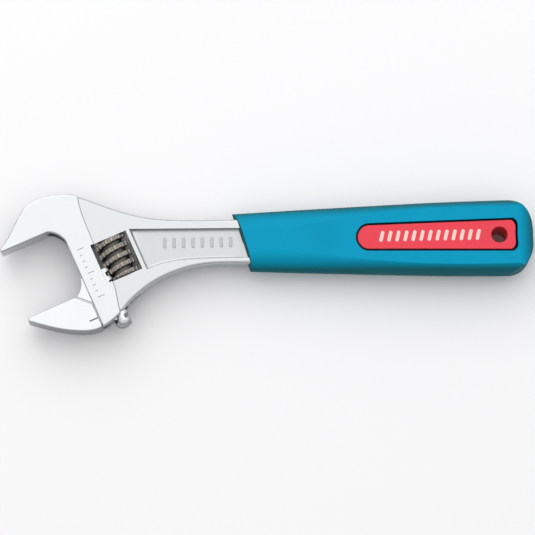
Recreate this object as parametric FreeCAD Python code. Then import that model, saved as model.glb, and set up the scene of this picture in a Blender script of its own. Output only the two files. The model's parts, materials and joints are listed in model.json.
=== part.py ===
import FreeCAD, Part
import math
import os

Vector = FreeCAD.Vector

# Adjustable wrench with a wide-opening head, lying flat. Every size is in millimetres.
# While it is drawn, +X runs along the handle to the butt, +Y is the back of the head and
# the middle plane of the forging is z = 0. The finished parts are then moved together so
# that the origin is the middle of the footprint, on the surface that the tool lies on.
#
# The jaw slides at an angle to the handle. Head outlines are therefore given as (u, v)
# from the middle of the worm window: u across the slide, towards the handle, and v along
# the slide, towards the closed jaws.

# Head and slide
JAW_ANGLE = 23.0
SLIDE_CENTRE = (-73.7, -6.2)
HEAD_HALF = 6.5
FIXED_FACE_V = 24.0
JAW_OPENING = 35.0
JAW_TRAVEL = 34.7
GUIDE_FACE_U = -19.8
EDGE_RADIUS = 0.6

# Neck, tang and hang hole
NECK_HALF = 5.2
NECK_END_X = 0.0
RECESS_FLOOR = 2.8
RECESS_FILLET = 1.5
TANG_HALF = 3.6
TANG_HALF_WIDTH = 8.0
TANG_END_X = 104.0
HANG_HOLE_X = 112.6
HANG_HOLE_RADIUS = 4.0
HOLE_BOSS_RADIUS = 6.0

# Worm, its window and its pin
WORM_RADIUS = 8.0
WORM_ROOT_RADIUS = 5.7
WORM_PITCH = 4.5
WORM_CREST = 1.9
THREAD_FLANK = 14.5
WORM_LOW_V = -10.6
WORM_TOP_V = 9.2
WORM_NOTCHES = 18
NOTCH_RADIUS = 0.75
NOTCH_LIFT = 0.1
NOTCH_PHASE = 0.31
WINDOW_LOW_V = -11.0
WINDOW_TOP_V = 9.6
WINDOW_LEFT_U = -9.7
WINDOW_RIGHT_U = 9.0
WINDOW_LAND = 1.8
PIN_RADIUS = 2.0
PIN_CLEARANCE = 0.08
PIN_HEAD_RADIUS = 3.0
PIN_HEAD_TOP_V = -14.5
PIN_LOW_V = -22.0
PIN_TIP_V = 15.0

# Spring in the worm's counterbore
SPRING_BORE_RADIUS = 3.6
SPRING_BORE_DEPTH = 9.0
SPRING_MEAN_RADIUS = 2.75
SPRING_WIRE_RADIUS = 0.35
SPRING_TURNS = 6

# Rail of the movable jaw
RAIL_U = -9.2
RAIL_RADIUS = 4.5
RAIL_CLEARANCE = 0.1
RAIL_LOW_V = -33.6
RAIL_TOP_V = -3.2
RAIL_END_ROUND = 3.2
WEB_HALF = 3.5
SLOT_CLEARANCE = 0.15
RACK_TIP_U = -6.05
RACK_ROOT_U = -8.35
FLANK_CLEARANCE = 0.16
GROOVE_WIDTH = 1.1

# Grip
BUTT_X = 129.8
GRIP_FRONT_X = -13.0
GRIP_FRONT_SLOPE = -0.297
GRIP_FRONT_RAKE = 14.0
CORE_HALF = 6.6
INLAY_GAP = 1.1
INLAY_SINK = 0.15

slide_cos = math.cos(math.radians(JAW_ANGLE))
slide_sin = math.sin(math.radians(JAW_ANGLE))
ACROSS = Vector(slide_cos, slide_sin, 0)
ALONG = Vector(-slide_sin, slide_cos, 0)
UP = Vector(0, 0, 1)
MOVABLE_FACE_V = FIXED_FACE_V - JAW_OPENING
LEAD = math.atan(WORM_PITCH / (2 * math.pi * (WORM_RADIUS + WORM_ROOT_RADIUS) / 2))


def slide_point(u, v, z=0.0):
    """The place of a point that is given across and along the slide."""
    return Vector(*SLIDE_CENTRE, z) + ACROSS * u + ALONG * v


def slide_points(pairs, z=0.0):
    return [slide_point(u, v, z) for u, v in pairs]


def flat_points(pairs, z=0.0):
    return [Vector(x, y, z) for x, y in pairs]


def run_edge(points):
    """A straight edge through two points, or a smooth one through more."""
    if len(points) == 2:
        return Part.makeLine(points[0], points[1])
    curve = Part.BSplineCurve()
    curve.interpolate(points)
    return curve.toShape()


def closed_face(runs):
    """The flat face inside runs of points, each run starting where the last one ended."""
    return Part.Face(Part.Wire([run_edge(points) for points in runs]))


def slab(runs, low, high):
    """The face inside the runs as a plate between two heights."""
    plate = closed_face(runs).extrude(UP * (high - low))
    plate.translate(UP * low)
    return plate


def polygon_runs(points):
    return [[points[i - 1], points[i]] for i in range(len(points))]


def level_edges(shape, heights):
    """The edges that lie wholly at one of the heights."""
    picked = []
    for edge in shape.Edges:
        box = edge.BoundBox
        if any(abs(box.ZMin - h) < 1e-3 and abs(box.ZMax - h) < 1e-3 for h in heights):
            picked.append(edge)
    return picked


def slide_rod(u, radius, low_v, top_v):
    """A round rod parallel to the slide."""
    return Part.makeCylinder(radius, top_v - low_v, slide_point(u, low_v), ALONG)


def mirrored_pair(shape):
    return [shape, shape.mirror(Vector(0, 0, 0), UP)]


def doubled(shape, cuts):
    """The upper half of a symmetric shape, cut, and joined to its mirror image."""
    reach = 400
    upper = shape.common(Part.makeBox(reach, reach, reach, Vector(-reach / 2, -reach / 2, 0)))
    half, mirrored = mirrored_pair(upper.cut(cuts))
    return half.fuse(mirrored).removeSplitter()


# ---------------------------------------------------------------- forged frame


def head_plate():
    """Fixed jaw and the thick band round the rail bore."""
    face_end = (-26.4, FIXED_FACE_V)
    throat = (GUIDE_FACE_U, 16.6)
    heel = (GUIDE_FACE_U, -29.6)
    tip_low = (-50.7, FIXED_FACE_V)
    tip_high = (-49.9, 26.0)
    corner = (-5.5, 34.6)
    heel_end = (-9.4, -26.7)
    runs = [
        [tip_low, face_end],
        [face_end, (-24.9, 23.4), (-21.0, 19.4), throat],
        [throat, heel],
        [heel, (-15.6, -28.8), (-11.6, -27.6), heel_end],
        [heel_end, (-8.2, -21.0), (-6.7, -13.0), (-7.5, 0.0), (-7.5, 15.0), (-6.9, 27.0), corner],
        [corner, (-8.6, 36.9), (-14.8, 39.2), (-24.0, 41.0), (-31.6, 39.6), (-37.2, 35.8),
         (-43.0, 30.8), tip_high],
        [tip_high, (-50.6, 25.2), tip_low],
    ]
    plate = slab([slide_points(run) for run in runs], -HEAD_HALF, HEAD_HALF)
    return plate.makeFillet(EDGE_RADIUS, level_edges(plate, (-HEAD_HALF, HEAD_HALF)))


def neck_plate():
    """Tapering neck between the head and the grip."""
    inner_top = slide_point(-12, 35.5)
    inner_low = slide_point(-12, -26.4)
    top_start = slide_point(-5.7, 34.4)
    low_end = slide_point(-7.4, -26.0)
    upper = [top_start] + flat_points([
        (-86.3, 21.2), (-76.8, 17.5), (-67.1, 14.4), (-57.4, 12.2), (-46.0, 11.1), (-30.0, 10.7),
        (NECK_END_X, 10.7)])
    lower = flat_points([
        (NECK_END_X, -10.8), (-20.0, -10.9), (-30.0, -11.3), (-38.5, -12.7), (-48.1, -15.9),
        (-57.9, -21.1), (-63.4, -25.4), (-67.3, -29.1)]) + [low_end]
    runs = [[inner_low, inner_top], [inner_top, top_start], upper, [upper[-1], lower[0]], lower,
            [low_end, inner_low]]
    plate = slab(runs, -NECK_HALF, NECK_HALF)
    return plate.makeFillet(1.2, level_edges(plate, (-NECK_HALF, NECK_HALF)))


def tang_plate():
    """Flat bar inside the grip, round at its end."""
    shoulder = TANG_END_X - TANG_HALF_WIDTH
    root = NECK_END_X - 12
    bar = Part.makeBox(shoulder - root, 2 * TANG_HALF_WIDTH, 2 * TANG_HALF,
                       Vector(root, -TANG_HALF_WIDTH, -TANG_HALF))
    end = Part.makeCylinder(TANG_HALF_WIDTH, 2 * TANG_HALF, Vector(shoulder, 0, -TANG_HALF))
    return bar.fuse(end).removeSplitter()


def neck_recess():
    """Shallow forged panel on the upper face of the neck, with filleted walls."""
    window_top = slide_point(WINDOW_RIGHT_U + WINDOW_LAND, WINDOW_TOP_V)
    window_low = slide_point(WINDOW_RIGHT_U + WINDOW_LAND, WINDOW_LOW_V - 1.4)
    end_x = NECK_END_X - 2
    low_edge = [window_low] + flat_points([
        (-55.0, -11.7), (-48.0, -9.8), (-36.0, -8.6), (-20.0, -8.3), (end_x, -8.3)])
    runs = [
        low_edge,
        [low_edge[-1], Vector(end_x, 6.3, 0)],
        [Vector(end_x, 6.3, 0), window_top],
        [window_top, window_low],
    ]
    panel = slab(runs, RECESS_FLOOR, NECK_HALF + 2)
    return panel.makeFillet(RECESS_FILLET, level_edges(panel, (RECESS_FLOOR,)))


def worm_window():
    corners = [(WINDOW_LEFT_U, WINDOW_LOW_V), (WINDOW_RIGHT_U, WINDOW_LOW_V),
               (WINDOW_RIGHT_U, WINDOW_TOP_V), (WINDOW_LEFT_U, WINDOW_TOP_V)]
    return slab(polygon_runs(slide_points(corners)), -2 * HEAD_HALF, 2 * HEAD_HALF)


def web_top_run(lift=0.0, spread=0.0):
    """Sweeping front edge of the web, from the jaw's corner up to the guide face."""
    points = [(-26.6, MOVABLE_FACE_V - 0.2), (-23.6, -9.2), (-21.4, -6.4), (-20.4, RAIL_TOP_V)]
    return slide_points([(u - spread, v + lift) for u, v in points])


def rail_slot():
    """Space that the web sweeps between open and closed, with running clearance."""
    rise = web_top_run(JAW_TRAVEL + 0.5, 0.5)
    below = rise[0] - ALONG * 14
    beside = slide_point(GUIDE_FACE_U - 1, 5)
    low_left = slide_point(GUIDE_FACE_U - 1, -45)
    low_right = slide_point(RAIL_U, -45)
    top_right = slide_point(RAIL_U, RAIL_TOP_V + JAW_TRAVEL + 0.5)
    runs = [rise, [rise[-1], top_right], [top_right, low_right], [low_right, low_left],
            [low_left, beside], [beside, below], [below, rise[0]]]
    half = WEB_HALF + SLOT_CLEARANCE
    return slab(runs, -half, half)


def build_frame():
    neck = doubled(neck_plate(), [neck_recess()])
    body = head_plate().fuse([neck, tang_plate()]).removeSplitter()
    bore_top = RAIL_TOP_V + JAW_TRAVEL + 0.5
    hole_radius = PIN_RADIUS + PIN_CLEARANCE
    cuts = [
        worm_window(),
        rail_slot(),
        slide_rod(RAIL_U, RAIL_RADIUS + RAIL_CLEARANCE, -45, bore_top),
        slide_rod(0, hole_radius, -40, PIN_TIP_V + 0.4),
        slide_rod(0, PIN_HEAD_RADIUS + 0.04, -40, PIN_HEAD_TOP_V + 0.2),
    ]
    return body.cut(cuts)


# ------------------------------------------------------------------ movable jaw


def jaw_block():
    """Movable jaw: flat gripping face, 45 degree rear corner and curved underside."""
    rear_u = GUIDE_FACE_U - 0.3
    face_end = (-26.6, MOVABLE_FACE_V)
    rear_top = (rear_u, MOVABLE_FACE_V - (rear_u - face_end[0]))
    rear_low = (rear_u, -29.6)
    tip_high = (-51.2, MOVABLE_FACE_V)
    tip_low = (-51.9, -12.6)
    runs = [
        [tip_high, face_end],
        [face_end, rear_top],
        [rear_top, rear_low],
        [rear_low, (-25.5, -29.2), (-31.8, -26.7), (-38.2, -23.1), (-44.3, -18.7), tip_low],
        [tip_low, tip_high],
    ]
    block = slab([slide_points(run) for run in runs], -HEAD_HALF, HEAD_HALF)
    return block.makeFillet(EDGE_RADIUS, level_edges(block, (-HEAD_HALF, HEAD_HALF)))


def jaw_web():
    """Thin wall that carries the jaw block on the rail."""
    rise = web_top_run()
    top_right = slide_point(RAIL_U, RAIL_TOP_V)
    low_right = slide_point(RAIL_U, -29.0)
    low_left = slide_point(-26.6, -27.0)
    runs = [rise, [rise[-1], top_right], [top_right, low_right], [low_right, low_left], [low_left, rise[0]]]
    return slab(runs, -WEB_HALF, WEB_HALF)


def rail():
    """Round rail with a domed lower end and a flat along it for the rack."""
    rod = slide_rod(RAIL_U, RAIL_RADIUS, RAIL_LOW_V, RAIL_TOP_V)
    end = [edge for edge in rod.Edges
           if edge.Closed and (edge.CenterOfMass - slide_point(RAIL_U, RAIL_LOW_V)).Length < 1e-3]
    rod = rod.makeFillet(RAIL_END_ROUND, end)
    low = slide_point(RACK_TIP_U, RAIL_LOW_V - 1, -RAIL_RADIUS)
    flat = Part.makeBox(6, 60, 2 * RAIL_RADIUS)
    flat.rotate(Vector(0, 0, 0), UP, JAW_ANGLE)
    flat.translate(low)
    return rod.cut(flat)


def thread_width(distance):
    """Axial width of the worm's thread at a distance from its axis."""
    return WORM_CREST + 2 * (WORM_RADIUS - distance) * math.tan(math.radians(THREAD_FLANK))


def rack_groove(v):
    """Slot across the rail for one turn of the thread, tilted by the thread's lead."""
    outer = RACK_TIP_U + 3
    tip_half = thread_width(-outer) / 2 + FLANK_CLEARANCE
    root_half = thread_width(-RACK_ROOT_U) / 2 + FLANK_CLEARANCE
    corners = [(RACK_ROOT_U, v - root_half), (outer, v - tip_half), (outer, v + tip_half),
               (RACK_ROOT_U, v + root_half)]
    groove = slab(polygon_runs(slide_points(corners)), -6, 6)
    groove.rotate(slide_point(RACK_ROOT_U, v), ACROSS, -math.degrees(LEAD))
    return groove


def relief_grooves():
    """Narrow reliefs beside the jaw's rear corner and across its heel, on the upper face."""
    side = GUIDE_FACE_U - 0.3
    foot = (side + 0.6, MOVABLE_FACE_V - (side + 0.6 + 26.6))
    head = (-26.9, MOVABLE_FACE_V + 0.3)
    step = GROOVE_WIDTH * math.sqrt(0.5)
    corner = [head, foot, (foot[0] + step, foot[1] + step), (head[0] + step, head[1] + step)]
    notch = [(-24.9, -25.1), (side + 1, -25.1), (side + 1, -24.3), (-24.9, -24.3)]
    return [slab(polygon_runs(slide_points(corner)), WEB_HALF - 1.4, HEAD_HALF),
            slab(polygon_runs(slide_points(notch)), HEAD_HALF - 2.4, HEAD_HALF + 1)]


def build_movable_jaw():
    body = jaw_block().fuse([jaw_web(), rail()]).removeSplitter()
    top_groove = -WORM_PITCH / 2
    count = int((top_groove - RAIL_LOW_V) / WORM_PITCH) + 2
    grooves = [rack_groove(top_groove - WORM_PITCH * k) for k in range(count)]
    return doubled(body, relief_grooves()).cut(grooves)


# -------------------------------------------------------- worm, pin and spring


def to_slide(shape):
    """Carry a shape that was drawn on the Z axis onto the worm's axis."""
    placement = FreeCAD.Placement(slide_point(0, 0), FreeCAD.Rotation(ACROSS, UP * -1, ALONG, "ZXY"))
    shape.Placement = placement.multiply(shape.Placement)
    return shape


def build_worm():
    length = WORM_TOP_V - WORM_LOW_V
    overrun = WORM_PITCH
    helix = Part.makeHelix(WORM_PITCH, length + 2 * overrun, WORM_ROOT_RADIUS)
    inner = WORM_ROOT_RADIUS - 0.3
    half_root = thread_width(inner) / 2
    half_crest = WORM_CREST / 2
    corners = [Vector(inner, 0, -half_root), Vector(WORM_RADIUS, 0, -half_crest),
               Vector(WORM_RADIUS, 0, half_crest), Vector(inner, 0, half_root)]
    section = Part.makePolygon(corners + corners[:1])
    thread = Part.Wire(helix).makePipeShell([section], True, True)
    thread.translate(UP * (WORM_LOW_V - overrun))
    # One crest passes the rail's side of the worm half a pitch above the window's middle.
    thread.rotate(Vector(0, 0, 0), UP, thread_phase(WORM_LOW_V - overrun))
    core = Part.makeCylinder(WORM_ROOT_RADIUS, length, Vector(0, 0, WORM_LOW_V))
    envelope = Part.makeCylinder(WORM_RADIUS, length, Vector(0, 0, WORM_LOW_V))
    rims = [worm_rim(WORM_LOW_V, 1), worm_rim(WORM_TOP_V, -1)]
    crests = thread.common(envelope.cut(worm_notches(length) + rims))
    bores = [Part.makeCylinder(PIN_RADIUS + PIN_CLEARANCE, length + 2, Vector(0, 0, WORM_LOW_V - 1)),
             Part.makeCylinder(SPRING_BORE_RADIUS, SPRING_BORE_DEPTH + 1, Vector(0, 0, WORM_LOW_V - 1))]
    return to_slide(core.cut(rims).fuse(crests).cut(bores))


def worm_notches(length):
    """Thumb grip: round notches along the worm, through the thread's crests."""
    notches = []
    for k in range(WORM_NOTCHES):
        angle = 2 * math.pi * (k + NOTCH_PHASE) / WORM_NOTCHES
        place = Vector(math.cos(angle), math.sin(angle), 0) * (WORM_RADIUS + NOTCH_LIFT)
        notches.append(Part.makeCylinder(NOTCH_RADIUS, length + 2, place + UP * (WORM_LOW_V - 1)))
    return notches


def worm_rim(end_v, inward):
    """Ring outside the bevel at one end of the worm."""
    bevel = 0.6
    ring = Part.makeCylinder(WORM_RADIUS + 1, bevel, Vector(0, 0, end_v), UP * inward)
    cone = Part.makeCone(WORM_RADIUS - bevel, WORM_RADIUS, bevel, Vector(0, 0, end_v), UP * inward)
    return ring.cut(cone)


def thread_phase(start_v):
    """Turn, in degrees, that puts a crest at v = pitch / 2 on the side facing the rail."""
    turns_to_crest = (WORM_PITCH / 2 - start_v) / WORM_PITCH
    return 180.0 - 360.0 * turns_to_crest


def build_worm_pin():
    """Plain pin with a slotted screw head let into the underside of the neck."""
    shank = Part.makeCylinder(PIN_RADIUS, PIN_TIP_V - PIN_HEAD_TOP_V, Vector(0, 0, PIN_HEAD_TOP_V))
    head = Part.makeCylinder(PIN_HEAD_RADIUS, PIN_HEAD_TOP_V - PIN_LOW_V, Vector(0, 0, PIN_LOW_V))
    pin = shank.fuse(head)
    ends = (PIN_TIP_V, PIN_LOW_V)
    rims = [edge for edge in pin.Edges
            if edge.Closed and min(abs(edge.CenterOfMass.z - end) for end in ends) < 1e-3]
    pin = pin.makeChamfer(0.4, rims)
    slot = Part.makeBox(2 * PIN_HEAD_RADIUS, 1.0, 1.3, Vector(-PIN_HEAD_RADIUS, -0.5, PIN_LOW_V))
    return to_slide(pin.cut(slot))


def build_worm_spring():
    """Compression spring between the window's lower wall and the worm's counterbore."""
    low = WINDOW_LOW_V + SPRING_WIRE_RADIUS + 0.02
    top = WORM_LOW_V + SPRING_BORE_DEPTH - SPRING_WIRE_RADIUS - 0.1
    pitch = (top - low) / SPRING_TURNS
    helix = Part.makeHelix(pitch, top - low, SPRING_MEAN_RADIUS)
    circle = Part.Circle(Vector(SPRING_MEAN_RADIUS, 0, 0), Vector(0, 1, 0), SPRING_WIRE_RADIUS)
    coil = Part.Wire(helix).makePipeShell([Part.Wire(circle.toShape())], True, True)
    coil.translate(UP * low)
    return to_slide(coil)


# ------------------------------------------------------------------------- grip


def grip_section(x, half_width, half_height, half_flat, shoulder):
    """Flat top and bottom joined by bulging sides, with a crease where the shoulder is under 1."""
    def side(sign):
        edge_y = sign * half_flat
        wall_y = sign * half_width
        corner = math.sqrt(0.5)
        outline = [(edge_y, 1), (wall_y, shoulder), (wall_y, 0), (wall_y, -shoulder), (edge_y, -1)]
        poles = [Vector(x, y, sign * half_height * height) for y, height in outline]
        curve = Part.BSplineCurve()
        curve.buildFromPolesMultsKnots(poles, [3, 2, 3], [0, 1, 2], False, 2, [1, corner, 1, corner, 1])
        return curve.toShape()
    right = side(1)
    left = side(-1)
    top = Part.makeLine(Vector(x, -half_flat, half_height), Vector(x, half_flat, half_height))
    low = Part.makeLine(Vector(x, half_flat, -half_height), Vector(x, -half_flat, -half_height))
    return Part.Wire([top, right, low, left])


def grip_envelope():
    """Outer shape of the whole grip."""
    stations = [(-26, 13.7, 7.9, 3.6, 1.0), (-8, 14.5, 8.3, 4.2, 0.98), (12, 15.4, 8.8, 6.2, 0.92),
                (42, 16.6, 9.5, 10.2, 0.82), (72, 17.7, 10.1, 13.2, 0.76), (100, 18.4, 10.4, 14.2, 0.74),
                (136, 18.7, 10.5, 14.4, 0.74)]
    body = Part.makeLoft([grip_section(*station) for station in stations], True, False)
    wide = 30
    front = [Vector(GRIP_FRONT_X + GRIP_FRONT_SLOPE * y, y, 0) for y in (-wide, wide)]
    butt = flat_points([(111, 18.55), (120.4, 17.2), (126.6, 12.4), (129.2, 6.4), (BUTT_X, 0),
                        (129.2, -6.4), (126.6, -12.4), (120.4, -17.2), (111, -18.55)])
    plan = slab([[Vector(109, -wide, 0), front[0]], [front[0], front[1]], [front[1], Vector(109, wide, 0)],
                 [Vector(109, wide, 0), butt[0]], butt, [butt[-1], Vector(109, -wide, 0)]], -15, 15)
    profile_points = [(-40, 14), (112, 14), (121.0, 10.6), (126.0, 8.9), (129.0, 5.0), (BUTT_X, 0),
                      (129.0, -5.0), (126.0, -8.9), (121.0, -10.6), (112, -14), (-40, -14)]
    side = [Vector(x, -wide, z) for x, z in profile_points]
    profile_runs = [side[0:2], side[1:3], side[2:9], side[8:10], side[9:11], [side[10], side[0]]]
    profile = closed_face(profile_runs).extrude(Vector(0, 2 * wide, 0))
    return body.common(plan).common(profile).cut(mirrored_pair(front_rake()))


def front_rake():
    """Space above the raked upper half of the grip's front face."""
    reach = 60
    space = Part.makeBox(reach, 2 * reach, reach, Vector(-reach, -reach, 0))
    space.rotate(Vector(0, 0, 0), Vector(0, 1, 0), GRIP_FRONT_RAKE)
    space.rotate(Vector(0, 0, 0), UP, -math.degrees(math.atan(GRIP_FRONT_SLOPE)))
    space.translate(Vector(GRIP_FRONT_X, 0, 0))
    return space


def label_runs(gap):
    """Outline of the inlay, or of the opening round it when a gap is given."""
    front = 49.6
    rear = 120.3 + gap
    half_front = 5.7 + gap
    half_rear = 7.1 + gap
    corner = 2.0
    bend = (front - half_front * 0.72, half_front * 0.7)
    nose = flat_points([(front, half_front), bend, (front - half_front, 0), (bend[0], -bend[1]),
                        (front, -half_front)])
    upper = flat_points([(rear - corner, half_rear), (front, half_front)])
    lower = flat_points([(front, -half_front), (rear - corner, -half_rear)])
    butt = flat_points([(rear - corner, -half_rear), (rear - 0.3, -half_rear + 1.6), (rear, 0),
                        (rear - 0.3, half_rear - 1.6), (rear - corner, half_rear)])
    return [nose, lower, butt, upper]


def build_grip_core():
    """Hard liner moulded on the tang; the soft sleeve and the inlays sit on it."""
    outline = [(NECK_END_X, -11.0), (114, -13.5), (122, -9.5), (122, 9.5), (114, 13.5), (NECK_END_X, 11.0)]
    liner = slab(polygon_runs(flat_points(outline)), -CORE_HALF, CORE_HALF)
    liner = liner.makeFillet(2.0, level_edges(liner, (-CORE_HALF, CORE_HALF)))
    return liner, liner.cut([tang_plate(), hole_rod(HOLE_BOSS_RADIUS)])


def build_grip_sleeve(envelope, liner, frame):
    opening = slab(label_runs(INLAY_GAP), CORE_HALF - 1, 14)
    return envelope.cut([liner, frame] + mirrored_pair(opening))


def hole_rod(radius):
    """A rod right through the grip on the hang hole's axis."""
    return Part.makeCylinder(radius, 30, Vector(HANG_HOLE_X, 0, -15))


def build_inlay(envelope):
    """Coloured inlay of the upper side, just below the sleeve's surface, with the boss that
    lines the hang hole down to the middle plane."""
    blank = slab(label_runs(0.0), CORE_HALF, 14)
    roof = envelope.copy()
    roof.translate(UP * -INLAY_SINK)
    boss = Part.makeCylinder(HOLE_BOSS_RADIUS, CORE_HALF, Vector(HANG_HOLE_X, 0, 0))
    return blank.common(roof).fuse(boss).cut(hole_rod(HANG_HOLE_RADIUS))


# --------------------------------------------------------------------- assembly


def build_all():
    frame = build_frame()
    envelope = grip_envelope()
    liner, grip_core = build_grip_core()
    inlay_front, inlay_back = mirrored_pair(build_inlay(envelope))
    nodes = {
        "frame_forging": frame,
        "movable_jaw": build_movable_jaw(),
        "worm": build_worm(),
        "worm_pin": build_worm_pin(),
        "worm_spring": build_worm_spring(),
        "grip_core": grip_core,
        "grip_sleeve": build_grip_sleeve(envelope, liner, frame),
        "label_inlay_front": inlay_front,
        "label_inlay_back": inlay_back,
    }
    box = Part.makeCompound(list(nodes.values())).optimalBoundingBox()
    shift = Vector(-box.Center.x, -box.Center.y, -box.ZMin)
    for shape in nodes.values():
        shape.translate(shift)
    return nodes, shift


def main():
    os.makedirs("parts", exist_ok=True)
    nodes, shift = build_all()
    for name, shape in nodes.items():
        shape.exportStep("parts/" + name + ".step")
        print(name, "valid", shape.isValid(), "solids", len(shape.Solids), "volume", round(shape.Volume, 1))
    print("shift", shift)


if __name__ == "__main__":
    main()
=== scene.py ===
import json
import math

import bmesh
import bpy
from bpy.props import FloatProperty, FloatVectorProperty, IntProperty, PointerProperty
from mathutils import Matrix, Vector


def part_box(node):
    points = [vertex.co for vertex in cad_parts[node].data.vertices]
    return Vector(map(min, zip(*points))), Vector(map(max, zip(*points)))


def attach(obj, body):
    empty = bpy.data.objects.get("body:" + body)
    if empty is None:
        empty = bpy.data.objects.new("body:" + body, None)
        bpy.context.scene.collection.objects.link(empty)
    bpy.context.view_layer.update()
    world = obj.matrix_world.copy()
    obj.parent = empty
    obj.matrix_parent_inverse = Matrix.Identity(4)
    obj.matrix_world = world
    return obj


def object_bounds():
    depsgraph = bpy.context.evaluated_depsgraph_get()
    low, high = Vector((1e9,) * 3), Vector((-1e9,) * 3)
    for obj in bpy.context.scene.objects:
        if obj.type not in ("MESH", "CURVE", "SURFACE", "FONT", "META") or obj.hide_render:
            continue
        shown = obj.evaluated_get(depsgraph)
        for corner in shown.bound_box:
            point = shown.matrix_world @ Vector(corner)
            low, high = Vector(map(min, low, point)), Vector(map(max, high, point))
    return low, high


bl_info = {
    "name": "Adjustable Wrench",
    "version": (1, 0, 0),
    "blender": (4, 5, 0),
    "location": "View3D > Sidebar > Wrench",
    "description": "Finishes and fine detail for an adjustable wrench with a moulded grip",
    "category": "Object",
}

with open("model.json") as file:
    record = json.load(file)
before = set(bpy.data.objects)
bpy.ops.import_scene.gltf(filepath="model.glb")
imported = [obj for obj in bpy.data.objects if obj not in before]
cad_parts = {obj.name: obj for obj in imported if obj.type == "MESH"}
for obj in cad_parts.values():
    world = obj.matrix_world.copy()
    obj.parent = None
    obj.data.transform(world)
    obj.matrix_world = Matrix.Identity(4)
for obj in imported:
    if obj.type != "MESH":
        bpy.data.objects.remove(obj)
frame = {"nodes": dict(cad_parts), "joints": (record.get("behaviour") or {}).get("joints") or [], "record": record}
CAD_BOX = [list(corner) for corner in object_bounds()]

MM = 0.001
JOINTS = {joint["name"]: joint for joint in frame["joints"]}
MOUNTS = {mount["name"]: mount for mount in frame["record"]["mounts"]}
SLIDE_CENTRE = Vector(JOINTS["worm_spin"]["pos_m"])
ALONG = -Vector(JOINTS["worm_spin"]["axis"]).normalized()
ACROSS = Vector((ALONG.y, -ALONG.x, 0.0))
HANG_HOLE = Vector(MOUNTS["hang_hole"]["pos_m"])
HOLE_FROM_NECK = 112.6 * MM
HEAD_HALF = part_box("movable_jaw")[1].z - HANG_HOLE.z
PANEL_HALF = 2.8 * MM
NECK_BARS_END = -18.0 * MM
NECK_BAR_WIDTH = 1.5 * MM
NECK_BAR_LENGTH = 5.2 * MM
SCALE_LEFT = -16.4 * MM
SCALE_START = -15.5 * MM
LONG_LINE = 3.4 * MM
SHORT_LINE = 1.5 * MM
INK_THICKNESS = 0.05 * MM
INLAY_BARS_START = 55.5 * MM
INLAY_MIDDLE = 0.2 * MM
INLAY_BAR_SIZE = (1.7 * MM, 5.4 * MM, 0.3 * MM)
INLAY_BAR_SLANT = math.radians(-14)


def linear(hex_code):
    """An sRGB hex colour as linear values."""
    values = []
    for start in (1, 3, 5):
        channel = int(hex_code[start:start + 2], 16) / 255
        values.append(channel / 12.92 if channel <= 0.04045 else ((channel + 0.055) / 1.055) ** 2.4)
    return tuple(values)


def slide_point(across, along, height=0.0):
    """A point of the head: across the slide, towards the handle, and along it, towards closing."""
    return SLIDE_CENTRE + ACROSS * across + ALONG * along + Vector((0, 0, height))


def handle_point(x, y, height=0.0):
    """A point of the handle: along it from the neck's end, and to the side of its middle line."""
    return HANG_HOLE + Vector((x - HOLE_FROM_NECK, y, height))


# ------------------------------------------------------------------ settings


class WrenchMarks(bpy.types.PropertyGroup):
    """Sizes of the raised and inked marks."""

    tick_spacing: FloatProperty(
        name="Scale Step", description="Distance between the long lines of the jaw scale",
        default=12.7 * MM, subtype="DISTANCE", unit="LENGTH")
    tick_width: FloatProperty(
        name="Scale Line Width", description="Width of an engraved line of the jaw scale",
        default=0.32 * MM, subtype="DISTANCE", unit="LENGTH")
    tick_parts: IntProperty(
        name="Scale Parts", description="Short steps between two long lines of the scale", default=4, min=1)
    neck_bars: IntProperty(
        name="Neck Bars", description="Raised bars forged in each panel of the neck", default=8, min=0)
    neck_bar_spacing: FloatProperty(
        name="Neck Bar Spacing", description="Distance between the raised bars of the neck",
        default=4.6 * MM, subtype="DISTANCE", unit="LENGTH")
    neck_bar_height: FloatProperty(
        name="Neck Bar Relief", description="How far a neck bar stands above the panel's floor",
        default=0.4 * MM, subtype="DISTANCE", unit="LENGTH")
    inlay_bars: IntProperty(
        name="Inlay Bars", description="Printed bars on each coloured inlay", default=13, min=0)
    inlay_bar_spacing: FloatProperty(
        name="Inlay Bar Spacing", description="Distance between the printed bars of the inlay",
        default=3.9 * MM, subtype="DISTANCE", unit="LENGTH")


class WrenchFinishes(bpy.types.PropertyGroup):
    """Colours of the wrench's materials."""

    chrome: FloatVectorProperty(
        name="Chrome", description="Polished chrome plate of the head",
        default=linear("#C6C8C9"), size=3, min=0, max=1, subtype="COLOR")
    worm_steel: FloatVectorProperty(
        name="Worm Steel", description="Bare steel on the crests of the worm",
        default=linear("#BDB7AF"), size=3, min=0, max=1, subtype="COLOR")
    sleeve: FloatVectorProperty(
        name="Sleeve", description="Soft sleeve of the grip",
        default=linear("#0091B6"), size=3, min=0, max=1, subtype="COLOR")
    liner: FloatVectorProperty(
        name="Liner", description="Hard liner that shows in the gap round the inlay",
        default=linear("#16283C"), size=3, min=0, max=1, subtype="COLOR")
    inlay: FloatVectorProperty(
        name="Inlay", description="Coloured inlay of the grip",
        default=linear("#DC1E38"), size=3, min=0, max=1, subtype="COLOR")
    print_ink: FloatVectorProperty(
        name="Print", description="Printed bars on the inlay",
        default=linear("#FFD2C8"), size=3, min=0, max=1, subtype="COLOR")


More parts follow.
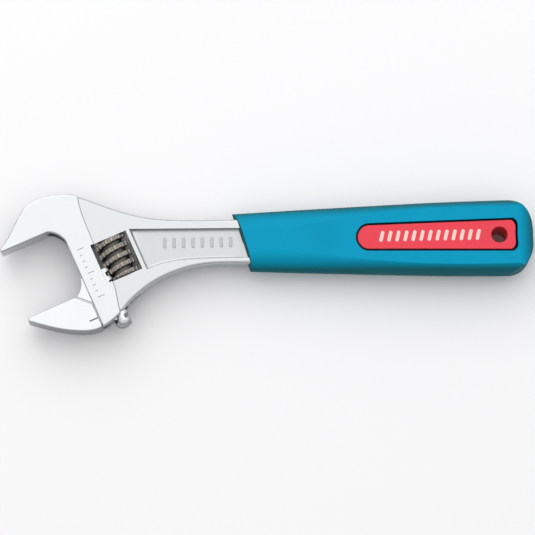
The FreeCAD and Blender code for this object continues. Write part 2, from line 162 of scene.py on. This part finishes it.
class WrenchStage(bpy.types.PropertyGroup):
    """Floor, lights and camera."""

    floor: FloatVectorProperty(
        name="Floor", description="Colour of the plain floor",
        default=linear("#EAEAEB"), size=3, min=0, max=1, subtype="COLOR")
    top_light: FloatProperty(
        name="Top Light", description="Power of the large soft light overhead",
        default=5.2, min=0, unit="POWER")
    back_light: FloatProperty(
        name="Back Light", description="Power of the soft light behind the head",
        default=1.6, min=0, unit="POWER")
    surround: FloatProperty(
        name="Surround", description="Brightness of the plain surroundings", default=1.1, min=0)
    elevation: FloatProperty(
        name="Camera Elevation", description="Angle of the camera above the floor",
        default=math.radians(80), subtype="ANGLE", unit="ROTATION")
    turn: FloatProperty(
        name="Camera Turn", description="Turn of the camera about the vertical",
        default=math.radians(-1), subtype="ANGLE", unit="ROTATION")
    distance: FloatProperty(
        name="Camera Distance", description="Distance from the camera to the middle of the wrench",
        default=1.6, subtype="DISTANCE", unit="LENGTH")
    field: FloatProperty(
        name="Camera Field", description="Width that the camera sees at the wrench",
        default=0.261, subtype="DISTANCE", unit="LENGTH")


# ----------------------------------------------------------------- materials


def add_node(tree, kind, inputs=None, **settings):
    """Adds one shader node. Each input is a value, or another node's output to link."""
    node = tree.nodes.new(kind)
    for name, value in settings.items():
        setattr(node, name, value)
    for key, value in (inputs or {}).items():
        if isinstance(value, bpy.types.NodeSocket):
            tree.links.new(value, node.inputs[key])
        else:
            node.inputs[key].default_value = value
    return node


def new_material(name):
    """An empty material with its output node, and that node tree."""
    material = bpy.data.materials.new(name)
    material.use_nodes = True
    material.node_tree.nodes.clear()
    return material, material.node_tree


def surface(tree, shader):
    """Links the finished shader to the material's output."""
    add_node(tree, "ShaderNodeOutputMaterial", {"Surface": shader.outputs[0]})


def rgba(colour):
    return tuple(colour) + (1.0,)


def shade(colour, factor):
    """The colour made darker or lighter by a factor."""
    return tuple(min(1.0, channel * factor) for channel in colour) + (1.0,)


def chrome_plate(name, colour, satin_panel):
    """Chrome plate on a drop forging, polished on a belt.

    The plate mirrors the room, with the forging's faint waviness and fine belt lines. The neck is
    satin, and tinted a little greyer as painted shade for the darker room that its rails mirror; its
    bead-blasted panels are greyer still. The upright sides are tinted darker as painted shade, which
    follows the slope of the surface, so it is there on every side.
    """
    material, tree = new_material(name)
    place = add_node(tree, "ShaderNodeTexCoord").outputs["Object"]
    belt = add_node(tree, "ShaderNodeMapping", {"Vector": place, "Scale": (140, 2600, 2600)})
    # Belt lines are about 0.05 mm apart, drawn at 0.4 mm so that they show.
    lines = add_node(tree, "ShaderNodeTexNoise", {"Vector": belt.outputs[0], "Scale": 1.0, "Detail": 3.0})
    waves = add_node(tree, "ShaderNodeTexNoise", {"Vector": place, "Scale": 180.0, "Detail": 1.0})
    smears = add_node(tree, "ShaderNodeTexNoise", {"Vector": place, "Scale": 60.0, "Detail": 4.0})
    rough = add_node(tree, "ShaderNodeMapRange", {
        "Value": lines.outputs[0], "From Min": 0.3, "From Max": 0.7, "To Min": 0.12, "To Max": 0.2})
    tint = add_node(tree, "ShaderNodeMix", {
        "Factor": smears.outputs[0], "A": shade(colour, 0.93), "B": rgba(colour)}, data_type="RGBA")
    rough_out, tint_out = rough.outputs[0], tint.outputs["Result"]
    relief = add_node(tree, "ShaderNodeMath", {0: waves.outputs[0], 1: lines.outputs[0]}, operation="ADD")
    relief_out = relief.outputs[0]
    # Painted shade: the upright sides are tinted darker, following the slope of the surface.
    side = steep_sides(tree, 0.75, 0.35)
    tint_out = add_node(tree, "ShaderNodeMix", {
        "Factor": side, "A": tint_out, "B": shade(colour, 0.42)}, data_type="RGBA").outputs["Result"]
    rough_out = add_node(tree, "ShaderNodeMix", {
        "Factor": side, "A": rough_out, "B": 0.3}).outputs["Result"]
    if satin_panel:
        neck = neck_mask(tree, place)
        # Painted shade: the neck is tinted greyer for the darker room that its rails mirror; its roughness is the
        # satin finish.
        tint_out = add_node(tree, "ShaderNodeMix", {
            "Factor": neck, "A": tint_out, "B": shade(colour, 0.86)}, data_type="RGBA").outputs["Result"]
        rough_out = add_node(tree, "ShaderNodeMix", {
            "Factor": neck, "A": rough_out, "B": 0.24}).outputs["Result"]
        mask = panel_mask(tree, place)
        grit = add_node(tree, "ShaderNodeTexNoise", {"Vector": place, "Scale": 2200.0, "Detail": 2.0})
        blasted = add_node(tree, "ShaderNodeMapRange", {
            "Value": grit.outputs[0], "From Min": 0.3, "From Max": 0.7, "To Min": 0.34, "To Max": 0.46})
        rough_out = add_node(tree, "ShaderNodeMix", {
            "Factor": mask, "A": rough_out, "B": blasted.outputs[0]}).outputs["Result"]
        tint_out = add_node(tree, "ShaderNodeMix", {
            "Factor": mask, "A": tint_out, "B": shade(colour, 0.86)}, data_type="RGBA").outputs["Result"]
        gritty = add_node(tree, "ShaderNodeMath", {0: grit.outputs[0], 1: 3.0}, operation="MULTIPLY")
        relief_out = add_node(tree, "ShaderNodeMix", {
            "Factor": mask, "A": relief_out, "B": gritty.outputs[0]}).outputs["Result"]
    bump = add_node(tree, "ShaderNodeBump", {
        "Strength": 0.12, "Distance": 0.00012, "Height": relief_out})
    shader = add_node(tree, "ShaderNodeBsdfPrincipled", {
        "Base Color": tint_out, "Metallic": 1.0, "Roughness": rough_out, "Normal": bump.outputs[0]})
    surface(tree, shader)
    return material


def steep_sides(tree, flat, steep):
    """0 where the surface is level, to 1 where it is upright, from the upward part of its normal."""
    normal = add_node(tree, "ShaderNodeTexCoord").outputs["Normal"]
    upward = add_node(tree, "ShaderNodeSeparateXYZ", {"Vector": normal}).outputs["Z"]
    facing = add_node(tree, "ShaderNodeMath", {0: upward}, operation="ABSOLUTE")
    return add_node(tree, "ShaderNodeMapRange", {
        "Value": facing.outputs[0], "From Min": flat, "From Max": steep,
        "To Min": 0.0, "To Max": 1.0}).outputs[0]


def panel_mask(tree, place):
    """1 on the floor of the neck's panels and 0 elsewhere on the forging."""
    middle = add_node(tree, "ShaderNodeVectorMath", {
        0: place, 1: tuple(HANG_HOLE)}, operation="SUBTRACT")
    parts = add_node(tree, "ShaderNodeSeparateXYZ", {"Vector": middle.outputs[0]})
    height = add_node(tree, "ShaderNodeMath", {0: parts.outputs["Z"]}, operation="ABSOLUTE")
    low = add_node(tree, "ShaderNodeMapRange", {
        "Value": height.outputs[0], "From Min": PANEL_HALF + 1.2 * MM, "From Max": PANEL_HALF + 0.7 * MM,
        "To Min": 0.0, "To Max": 1.0})
    beside = add_node(tree, "ShaderNodeMapRange", {
        "Value": parts.outputs["X"], "From Min": -HOLE_FROM_NECK - 66 * MM,
        "From Max": -HOLE_FROM_NECK - 62 * MM, "To Min": 0.0, "To Max": 1.0})
    return add_node(tree, "ShaderNodeMath", {
        0: low.outputs[0], 1: beside.outputs[0]}, operation="MULTIPLY").outputs[0]


def neck_mask(tree, place):
    """1 on the neck, behind the head and thinner than it, and 0 on the head."""
    height = add_node(tree, "ShaderNodeSeparateXYZ", {"Vector": place}).outputs["Z"]
    offset = add_node(tree, "ShaderNodeMath", {0: height, 1: HANG_HOLE.z}, operation="SUBTRACT")
    above = add_node(tree, "ShaderNodeMath", {0: offset.outputs[0]}, operation="ABSOLUTE")
    return add_node(tree, "ShaderNodeMapRange", {
        "Value": above.outputs[0], "From Min": 7.2 * MM, "From Max": 5.4 * MM,
        "To Min": 0.0, "To Max": 1.0}).outputs[0]


def hardened_steel(name, colour):
    """Turned and hardened steel, oiled: bright on the rubbed crests and dark in the thread's root, partly from oil
    there and partly as painted shade.
    """
    material, tree = new_material(name)
    place = add_node(tree, "ShaderNodeTexCoord").outputs["Object"]
    from_axis = add_node(tree, "ShaderNodeVectorMath", {
        0: place, 1: tuple(SLIDE_CENTRE)}, operation="SUBTRACT")
    lengthwise = add_node(tree, "ShaderNodeVectorMath", {
        0: from_axis.outputs[0], 1: tuple(ALONG)}, operation="CROSS_PRODUCT")
    radius = add_node(tree, "ShaderNodeVectorMath", {0: lengthwise.outputs[0]}, operation="LENGTH")
    # Darker towards the thread's root, by distance from the axis: partly oil in the root, partly painted shade.
    crest = add_node(tree, "ShaderNodeMapRange", {
        "Value": radius.outputs["Value"], "From Min": 6.2 * MM, "From Max": 7.7 * MM})
    wear = add_node(tree, "ShaderNodeTexNoise", {"Vector": place, "Scale": 900.0, "Detail": 4.0})
    tint = add_node(tree, "ShaderNodeMix", {
        "Factor": crest.outputs[0], "A": shade(colour, 0.16), "B": rgba(colour)}, data_type="RGBA")
    rubbed = add_node(tree, "ShaderNodeMix", {
        "Factor": wear.outputs[0], "A": shade(colour, 0.3), "B": tint.outputs["Result"]}, data_type="RGBA")
    rough = add_node(tree, "ShaderNodeMapRange", {
        "Value": wear.outputs[0], "From Min": 0.3, "From Max": 0.7, "To Min": 0.38, "To Max": 0.55})
    bump = add_node(tree, "ShaderNodeBump", {
        "Strength": 0.25, "Distance": 0.00005, "Height": wear.outputs[0]})
    shader = add_node(tree, "ShaderNodeBsdfPrincipled", {
        "Base Color": rubbed.outputs["Result"], "Metallic": 1.0, "Roughness": rough.outputs[0],
        "Normal": bump.outputs[0]})
    surface(tree, shader)
    return material


def drawn_steel(name, colour):
    """Drawn or turned steel with fine lines and a thin film of oil."""
    material, tree = new_material(name)
    place = add_node(tree, "ShaderNodeTexCoord").outputs["Object"]
    film = add_node(tree, "ShaderNodeTexNoise", {"Vector": place, "Scale": 700.0, "Detail": 3.0})
    tint = add_node(tree, "ShaderNodeMix", {
        "Factor": film.outputs[0], "A": shade(colour, 0.55), "B": rgba(colour)}, data_type="RGBA")
    rough = add_node(tree, "ShaderNodeMapRange", {
        "Value": film.outputs[0], "From Min": 0.3, "From Max": 0.7, "To Min": 0.25, "To Max": 0.4})
    shader = add_node(tree, "ShaderNodeBsdfPrincipled", {
        "Base Color": tint.outputs["Result"], "Metallic": 1.0, "Roughness": rough.outputs[0]})
    surface(tree, shader)
    return material


def soft_touch_rubber(name, colour):
    """Injection-moulded thermoplastic rubber: matte, with a spark-eroded grain and moulded side ribs.

    The upright sides are tinted darker and greener as painted shade, which follows the slope of the
    surface, so it is there on both sides.
    """
    material, tree = new_material(name)
    place = add_node(tree, "ShaderNodeTexCoord").outputs["Object"]
    # The grain of the mould is about 0.15 mm, drawn at 0.35 mm so that it shows.
    grain = add_node(tree, "ShaderNodeTexVoronoi", {"Vector": place, "Scale": 2800.0})
    clouds = add_node(tree, "ShaderNodeTexNoise", {"Vector": place, "Scale": 45.0, "Detail": 3.0})
    tint = add_node(tree, "ShaderNodeMix", {
        "Factor": clouds.outputs[0], "A": shade(colour, 0.9), "B": shade(colour, 1.06)}, data_type="RGBA")
    # Painted shade: the upright sides are darker and greener, following the slope of the surface.
    painted_side_shade = add_node(tree, "ShaderNodeMix", {
        "Factor": steep_sides(tree, 0.98, 0.5), "A": tint.outputs["Result"],
        "B": (colour[0], colour[1] * 0.36, colour[2] * 0.27, 1.0)}, data_type="RGBA")
    rough = add_node(tree, "ShaderNodeMapRange", {
        "Value": grain.outputs["Distance"], "From Min": 0.0, "From Max": 0.8, "To Min": 0.46, "To Max": 0.6})
    seam = parting_line(tree, place)
    ribs = side_ribs(tree, place)
    fine = add_node(tree, "ShaderNodeMath", {0: grain.outputs["Distance"], 1: 0.35}, operation="MULTIPLY")
    lined = add_node(tree, "ShaderNodeMath", {0: fine.outputs[0], 1: seam}, operation="ADD")
    height = add_node(tree, "ShaderNodeMath", {0: lined.outputs[0], 1: ribs}, operation="ADD")
    bump = add_node(tree, "ShaderNodeBump", {
        "Strength": 0.5, "Distance": 0.00025, "Height": height.outputs[0]})
    shader = add_node(tree, "ShaderNodeBsdfPrincipled", {
        "Base Color": painted_side_shade.outputs["Result"], "Metallic": 0.0, "Roughness": rough.outputs[0], "IOR": 1.5,
        "Specular IOR Level": 0.08, "Normal": bump.outputs[0]})
    surface(tree, shader)
    return material


def parting_line(tree, place):
    """A fine raised line where the two halves of the mould met, half way up the grip."""
    height = add_node(tree, "ShaderNodeSeparateXYZ", {"Vector": place}).outputs["Z"]
    offset = add_node(tree, "ShaderNodeMath", {0: height, 1: HANG_HOLE.z}, operation="SUBTRACT")
    near = add_node(tree, "ShaderNodeMath", {0: offset.outputs[0]}, operation="ABSOLUTE")
    return add_node(tree, "ShaderNodeMapRange", {
        "Value": near.outputs[0], "From Min": 0.12 * MM, "From Max": 0.3 * MM,
        "To Min": 1.0, "To Max": 0.0}).outputs[0]


def side_ribs(tree, place):
    """Shallow upright ribs on the sides of the grip's front half, 3 mm apart."""
    local = add_node(tree, "ShaderNodeVectorMath", {0: place, 1: tuple(HANG_HOLE)}, operation="SUBTRACT")
    parts = add_node(tree, "ShaderNodeSeparateXYZ", {"Vector": local.outputs[0]})
    turns = add_node(tree, "ShaderNodeMath", {
        0: parts.outputs["X"], 1: 2 * math.pi / (3.0 * MM)}, operation="MULTIPLY")
    wave = add_node(tree, "ShaderNodeMath", {0: turns.outputs[0]}, operation="SINE")
    crest = add_node(tree, "ShaderNodeMapRange", {
        "Value": wave.outputs[0], "From Min": -0.2, "From Max": 0.5, "To Min": 0.0, "To Max": 1.6})
    side = add_node(tree, "ShaderNodeMath", {0: parts.outputs["Y"]}, operation="ABSOLUTE")
    outer = add_node(tree, "ShaderNodeMapRange", {
        "Value": side.outputs[0], "From Min": 12.2 * MM, "From Max": 13.4 * MM})
    rear = add_node(tree, "ShaderNodeMapRange", {
        "Value": parts.outputs["X"], "From Min": 48 * MM - HOLE_FROM_NECK,
        "From Max": 38 * MM - HOLE_FROM_NECK})
    front = add_node(tree, "ShaderNodeMapRange", {
        "Value": parts.outputs["X"], "From Min": -HOLE_FROM_NECK - 2 * MM,
        "From Max": -HOLE_FROM_NECK + 3 * MM})
    zone = add_node(tree, "ShaderNodeMath", {0: rear.outputs[0], 1: front.outputs[0]}, operation="MULTIPLY")
    place_mask = add_node(tree, "ShaderNodeMath", {
        0: zone.outputs[0], 1: outer.outputs[0]}, operation="MULTIPLY")
    return add_node(tree, "ShaderNodeMath", {
        0: place_mask.outputs[0], 1: crest.outputs[0]}, operation="MULTIPLY").outputs[0]


def moulded_plastic(name, colour, roughness):
    """Injection-moulded plastic: an even, slightly wavy skin with faint flow marks."""
    material, tree = new_material(name)
    place = add_node(tree, "ShaderNodeTexCoord").outputs["Object"]
    flow = add_node(tree, "ShaderNodeMapping", {"Vector": place, "Scale": (40, 160, 160)})
    marks = add_node(tree, "ShaderNodeTexNoise", {"Vector": flow.outputs[0], "Scale": 1.0, "Detail": 2.0})
    skin = add_node(tree, "ShaderNodeTexNoise", {"Vector": place, "Scale": 1600.0, "Detail": 2.0})
    tint = add_node(tree, "ShaderNodeMix", {
        "Factor": marks.outputs[0], "A": shade(colour, 0.92), "B": shade(colour, 1.05)}, data_type="RGBA")
    rough = add_node(tree, "ShaderNodeMapRange", {
        "Value": skin.outputs[0], "From Min": 0.3, "From Max": 0.7,
        "To Min": roughness - 0.04, "To Max": roughness + 0.06})
    bump = add_node(tree, "ShaderNodeBump", {
        "Strength": 0.2, "Distance": 0.00006, "Height": skin.outputs[0]})
    shader = add_node(tree, "ShaderNodeBsdfPrincipled", {
        "Base Color": tint.outputs["Result"], "Metallic": 0.0, "Roughness": rough.outputs[0], "IOR": 1.5,
        "Normal": bump.outputs[0]})
    surface(tree, shader)
    return material


def enamel_ink(name, colour):
    """Ink or enamel laid in a fine line: matte, uneven at its scale."""
    material, tree = new_material(name)
    place = add_node(tree, "ShaderNodeTexCoord").outputs["Object"]
    cover = add_node(tree, "ShaderNodeTexNoise", {"Vector": place, "Scale": 1400.0, "Detail": 3.0})
    tint = add_node(tree, "ShaderNodeMix", {
        "Factor": cover.outputs[0], "A": shade(colour, 0.75), "B": rgba(colour)}, data_type="RGBA")
    shader = add_node(tree, "ShaderNodeBsdfPrincipled", {
        "Base Color": tint.outputs["Result"], "Metallic": 0.0, "Roughness": 0.5, "IOR": 1.5})
    surface(tree, shader)
    return material


def studio_paper(name, colour):
    """Matte background paper, with a barely uneven tone."""
    material, tree = new_material(name)
    place = add_node(tree, "ShaderNodeTexCoord").outputs["Object"]
    tone = add_node(tree, "ShaderNodeTexNoise", {"Vector": place, "Scale": 3.0, "Detail": 2.0})
    tint = add_node(tree, "ShaderNodeMix", {
        "Factor": tone.outputs[0], "A": shade(colour, 0.985), "B": rgba(colour)}, data_type="RGBA")
    shader = add_node(tree, "ShaderNodeBsdfPrincipled", {
        "Base Color": tint.outputs["Result"], "Roughness": 0.9, "Specular IOR Level": 0.2})
    surface(tree, shader)
    return material


def finish_node(node, material):
    """Gives a CAD node its material."""
    mesh = frame["nodes"][node].data
    mesh.materials.clear()
    mesh.materials.append(material)


# --------------------------------------------------------------- mesh pieces


def rounded_bar(mesh, middle, size, turn=None, edge=0.12 * MM):
    """Adds one bar with round ends and softened rims; size is across, along and high."""
    bar = bmesh.new()
    bmesh.ops.create_cube(bar, size=1.0, matrix=Matrix.Diagonal((*size, 1.0)))
    uprights = [e for e in bar.edges if abs(e.verts[0].co.z - e.verts[1].co.z) > size[2] / 2]
    bmesh.ops.bevel(bar, geom=uprights, offset=0.46 * min(size[:2]), segments=4, profile=0.5,
                    affect="EDGES", material=-1)
    rims = [e for e in bar.edges if min(v.co.z for v in e.verts) > 0.4 * size[2]
            and e.calc_face_angle(0.0) > 1.0]
    bmesh.ops.bevel(bar, geom=rims, offset=edge, segments=2, profile=0.5, affect="EDGES", material=-1)
    place = Matrix.Translation(middle) @ (turn or Matrix.Identity(4))
    bmesh.ops.transform(bar, matrix=place, verts=bar.verts)
    data = bpy.data.meshes.new("bar")
    bar.to_mesh(data)
    bar.free()
    mesh.from_mesh(data)
    bpy.data.meshes.remove(data)


def new_piece(name, mesh, body, material):
    """Turns a bmesh into a piece that rides on a body."""
    bmesh.ops.recalc_face_normals(mesh, faces=mesh.faces)
    data = bpy.data.meshes.new(name)
    mesh.to_mesh(data)
    mesh.free()
    data.materials.append(material)
    piece = bpy.data.objects.new(name, data)
    bpy.context.scene.collection.objects.link(piece)
    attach(piece, body)
    return piece


def top_of(node, x, y):
    """Height of a CAD node's upper surface above a point."""
    solid = frame["nodes"][node]
    hit, place, _, _ = solid.ray_cast(Vector((x, y, 0.2)), Vector((0, 0, -1)))
    if not hit:
        raise RuntimeError(f"{node} has no surface above ({x:.4f}, {y:.4f})")
    return place.z


# ----------------------------------------------------------------- operators


class WRENCH_OT_forgings(bpy.types.Operator):
    """Plates the forged frame and the movable jaw with chrome"""

    bl_idname = "wrench.forgings"
    bl_label = "Plate Forgings"

    def execute(self, context):
        colour = context.scene.wrench_finishes.chrome
        finish_node("frame_forging", chrome_plate("chrome_plate_frame", colour, True))
        finish_node("movable_jaw", chrome_plate("chrome_plate_jaw", colour, False))
        return {"FINISHED"}


class WRENCH_OT_worm(bpy.types.Operator):
    """Finishes the worm, its pin and its spring"""

    bl_idname = "wrench.worm"
    bl_label = "Finish Worm"

    def execute(self, context):
        colour = context.scene.wrench_finishes.worm_steel
        finish_node("worm", hardened_steel("hardened_steel_worm", colour))
        finish_node("worm_pin", drawn_steel("turned_steel_pin", colour))
        finish_node("worm_spring", drawn_steel("drawn_steel_spring", colour))
        return {"FINISHED"}


class WRENCH_OT_grip(bpy.types.Operator):
    """Finishes the sleeve, its liner and the coloured inlays"""

    bl_idname = "wrench.grip"
    bl_label = "Finish Grip"

    def execute(self, context):
        finishes = context.scene.wrench_finishes
        finish_node("grip_sleeve", soft_touch_rubber("soft_touch_rubber", finishes.sleeve))
        finish_node("grip_core", moulded_plastic("moulded_nylon_liner", finishes.liner, 0.5))
        inlay = moulded_plastic("moulded_abs_inlay", finishes.inlay, 0.3)
        finish_node("label_inlay_front", inlay)
        finish_node("label_inlay_back", inlay)
        return {"FINISHED"}


class WRENCH_OT_neck_bars(bpy.types.Operator):
    """Raises a row of plain forged bars in both panels of the neck"""

    bl_idname = "wrench.neck_bars"
    bl_label = "Neck Bars"

    def execute(self, context):
        marks = context.scene.wrench_marks
        # Painted shade: the bars' chrome is tinted darker than the panels around them.
        painted_shade = shade(context.scene.wrench_finishes.chrome, 0.6)[:3]
        material = chrome_plate("dulled_chrome_bars", painted_shade, False)
        mesh = bmesh.new()
        sunk = 0.3 * MM
        size = (NECK_BAR_WIDTH, NECK_BAR_LENGTH, marks.neck_bar_height + sunk)
        for side in (1, -1):
            for k in range(marks.neck_bars):
                x = NECK_BARS_END - k * marks.neck_bar_spacing
                lift = PANEL_HALF - sunk + size[2] / 2
                turn = Matrix.Rotation(0.0 if side > 0 else math.pi, 4, "X")
                rounded_bar(mesh, handle_point(x, 0.0, side * lift), size, turn=turn)
        new_piece("neck_relief_bars", mesh, "frame", material)
        return {"FINISHED"}


class WRENCH_OT_scale(bpy.types.Operator):
    """Inks the lines of the jaw scale on both faces of the head"""

    bl_idname = "wrench.scale"
    bl_label = "Jaw Scale"

    def execute(self, context):
        marks = context.scene.wrench_marks
        ink = enamel_ink("enamel_scale", linear("#7C7E82"))
        mesh = bmesh.new()
        turn = Matrix.Rotation(math.atan2(ACROSS.y, ACROSS.x), 4, "Z")
        step = marks.tick_spacing / marks.tick_parts
        for side in (1, -1):
            over = turn if side > 0 else turn @ Matrix.Rotation(math.pi, 4, "X")
            for k in range(2 * marks.tick_parts + 1):
                long_line = k % marks.tick_parts == 0
                length = LONG_LINE if long_line else SHORT_LINE
                middle = slide_point(SCALE_LEFT + length / 2, SCALE_START + k * step, side * HEAD_HALF)
                rounded_bar(mesh, middle, (length, marks.tick_width, INK_THICKNESS), turn=over,
                            edge=0.005 * MM)
        new_piece("jaw_scale_lines", mesh, "frame", ink)
        return {"FINISHED"}


class WRENCH_OT_inlay_bars(bpy.types.Operator):
    """Prints a row of plain slanted bars on both inlays"""

    bl_idname = "wrench.inlay_bars"
    bl_label = "Inlay Bars"

    def execute(self, context):
        marks = context.scene.wrench_marks
        ink = enamel_ink("pad_print_bars", context.scene.wrench_finishes.print_ink)
        for side, name in ((1, "inlay_print_front"), (-1, "inlay_print_back")):
            mesh = bmesh.new()
            for k in range(marks.inlay_bars):
                x = INLAY_BARS_START + k * marks.inlay_bar_spacing
                spot = handle_point(x, INLAY_MIDDLE)
                lift = top_of("label_inlay_front", spot.x, spot.y) - HANG_HOLE.z
                turn = Matrix.Rotation(INLAY_BAR_SLANT, 4, "Z")
                over = turn if side > 0 else turn @ Matrix.Rotation(math.pi, 4, "X")
                rounded_bar(mesh, handle_point(x, INLAY_MIDDLE, side * (lift - 0.1 * MM)),
                            INLAY_BAR_SIZE, turn=over, edge=0.04 * MM)
            new_piece(name, mesh, "frame", ink)
        return {"FINISHED"}


class WRENCH_OT_stage(bpy.types.Operator):
    """Lays the floor and sets the lights and the camera"""

    bl_idname = "wrench.stage"
    bl_label = "Stage"

    def execute(self, context):
        stage = context.scene.wrench_stage
        low, high = (Vector(corner) for corner in CAD_BOX)
        mesh = bmesh.new()
        bmesh.ops.create_grid(mesh, x_segments=2, y_segments=2, size=3.0)
        bmesh.ops.translate(mesh, vec=(0, 0, low.z), verts=mesh.verts)
        data = bpy.data.meshes.new("studio_floor")
        mesh.to_mesh(data)
        mesh.free()
        data.materials.append(studio_paper("studio_paper", stage.floor))
        floor = bpy.data.objects.new("studio_floor", data)
        context.scene.collection.objects.link(floor)
        middle = (low + high) / 2
        soft_box("top_light", Vector((-0.1, 0.7, 1.05)), middle, (1.7, 1.5), stage.top_light)
        soft_box("back_light", Vector((-0.5, 0.9, 0.7)), middle, (0.7, 0.7), stage.back_light)
        light_surround(context.scene, stage.surround)
        place_camera(context.scene, stage, Vector((-0.0001, -0.0031, HANG_HOLE.z)))
        return {"FINISHED"}


def soft_box(name, place, target, size, power):
    """A rectangular soft light aimed at the wrench."""
    data = bpy.data.lights.new(name, "AREA")
    data.shape = "RECTANGLE"
    data.size, data.size_y = size
    data.energy = power
    light = bpy.data.objects.new(name, data)
    light.location = place
    light.rotation_euler = (target - place).to_track_quat("-Z", "Y").to_euler()
    bpy.context.scene.collection.objects.link(light)


def light_surround(scene, strength):
    """A studio room: white overhead and behind, dim low down and on the camera's side."""
    world = bpy.data.worlds.new("studio")
    world.use_nodes = True
    tree = world.node_tree
    tree.nodes.clear()
    place = add_node(tree, "ShaderNodeTexCoord").outputs["Generated"]
    parts = add_node(tree, "ShaderNodeSeparateXYZ", {"Vector": place})
    lean = add_node(tree, "ShaderNodeMath", {0: parts.outputs["Y"], 1: 0.35}, operation="MULTIPLY")
    height = add_node(tree, "ShaderNodeMath", {0: parts.outputs["Z"], 1: lean.outputs[0]}, operation="ADD")
    glow = add_node(tree, "ShaderNodeMapRange", {
        "Value": height.outputs[0], "From Min": 0.1, "From Max": 0.8,
        "To Min": 0.4 * strength, "To Max": strength}, interpolation_type="SMOOTHSTEP")
    back = add_node(tree, "ShaderNodeBackground", {"Color": (1, 1, 1, 1), "Strength": glow.outputs[0]})
    add_node(tree, "ShaderNodeOutputWorld", {"Surface": back.outputs[0]})
    scene.world = world
    scene.view_settings.view_transform = "Standard"


def place_camera(scene, stage, target):
    """A long lens that looks down on the wrench."""
    data = bpy.data.cameras.new("camera")
    data.lens = data.sensor_width * stage.distance / stage.field
    data.clip_end = 20
    camera = bpy.data.objects.new("camera", data)
    away = Vector((0, -math.cos(stage.elevation), math.sin(stage.elevation)))
    away.rotate(Matrix.Rotation(stage.turn, 3, "Z"))
    camera.location = target + away * stage.distance
    camera.rotation_euler = (-away).to_track_quat("-Z", "Y").to_euler()
    scene.collection.objects.link(camera)
    scene.camera = camera


class VIEW3D_PT_wrench(bpy.types.Panel):
    """Settings and steps of the wrench"""

    bl_idname = "VIEW3D_PT_wrench"
    bl_label = "Adjustable Wrench"
    bl_space_type = "VIEW_3D"
    bl_region_type = "UI"
    bl_category = "Wrench"

    def draw(self, context):
        scene = context.scene
        for group in (scene.wrench_marks, scene.wrench_finishes, scene.wrench_stage):
            box = self.layout.box()
            for name in group.__annotations__:
                box.prop(group, name)
        for operator in STEPS:
            self.layout.operator(operator.bl_idname)


GROUPS = {"wrench_marks": WrenchMarks, "wrench_finishes": WrenchFinishes, "wrench_stage": WrenchStage}
STEPS = (WRENCH_OT_forgings, WRENCH_OT_worm, WRENCH_OT_grip, WRENCH_OT_neck_bars, WRENCH_OT_scale,
         WRENCH_OT_inlay_bars, WRENCH_OT_stage)


def register():
    for group in GROUPS.values():
        bpy.utils.register_class(group)
    for name, group in GROUPS.items():
        setattr(bpy.types.Scene, name, PointerProperty(type=group))
    for step in STEPS:
        bpy.utils.register_class(step)
    bpy.utils.register_class(VIEW3D_PT_wrench)


def unregister():
    bpy.utils.unregister_class(VIEW3D_PT_wrench)
    for step in reversed(STEPS):
        bpy.utils.unregister_class(step)
    for name in GROUPS:
        delattr(bpy.types.Scene, name)
    for group in reversed(list(GROUPS.values())):
        bpy.utils.unregister_class(group)


def main():
    register()
    bpy.ops.wrench.forgings()
    bpy.ops.wrench.worm()
    bpy.ops.wrench.grip()
    bpy.ops.wrench.neck_bars()
    bpy.ops.wrench.scale()
    bpy.ops.wrench.inlay_bars()
    bpy.ops.wrench.stage()


if __name__ == "__main__":
    main()
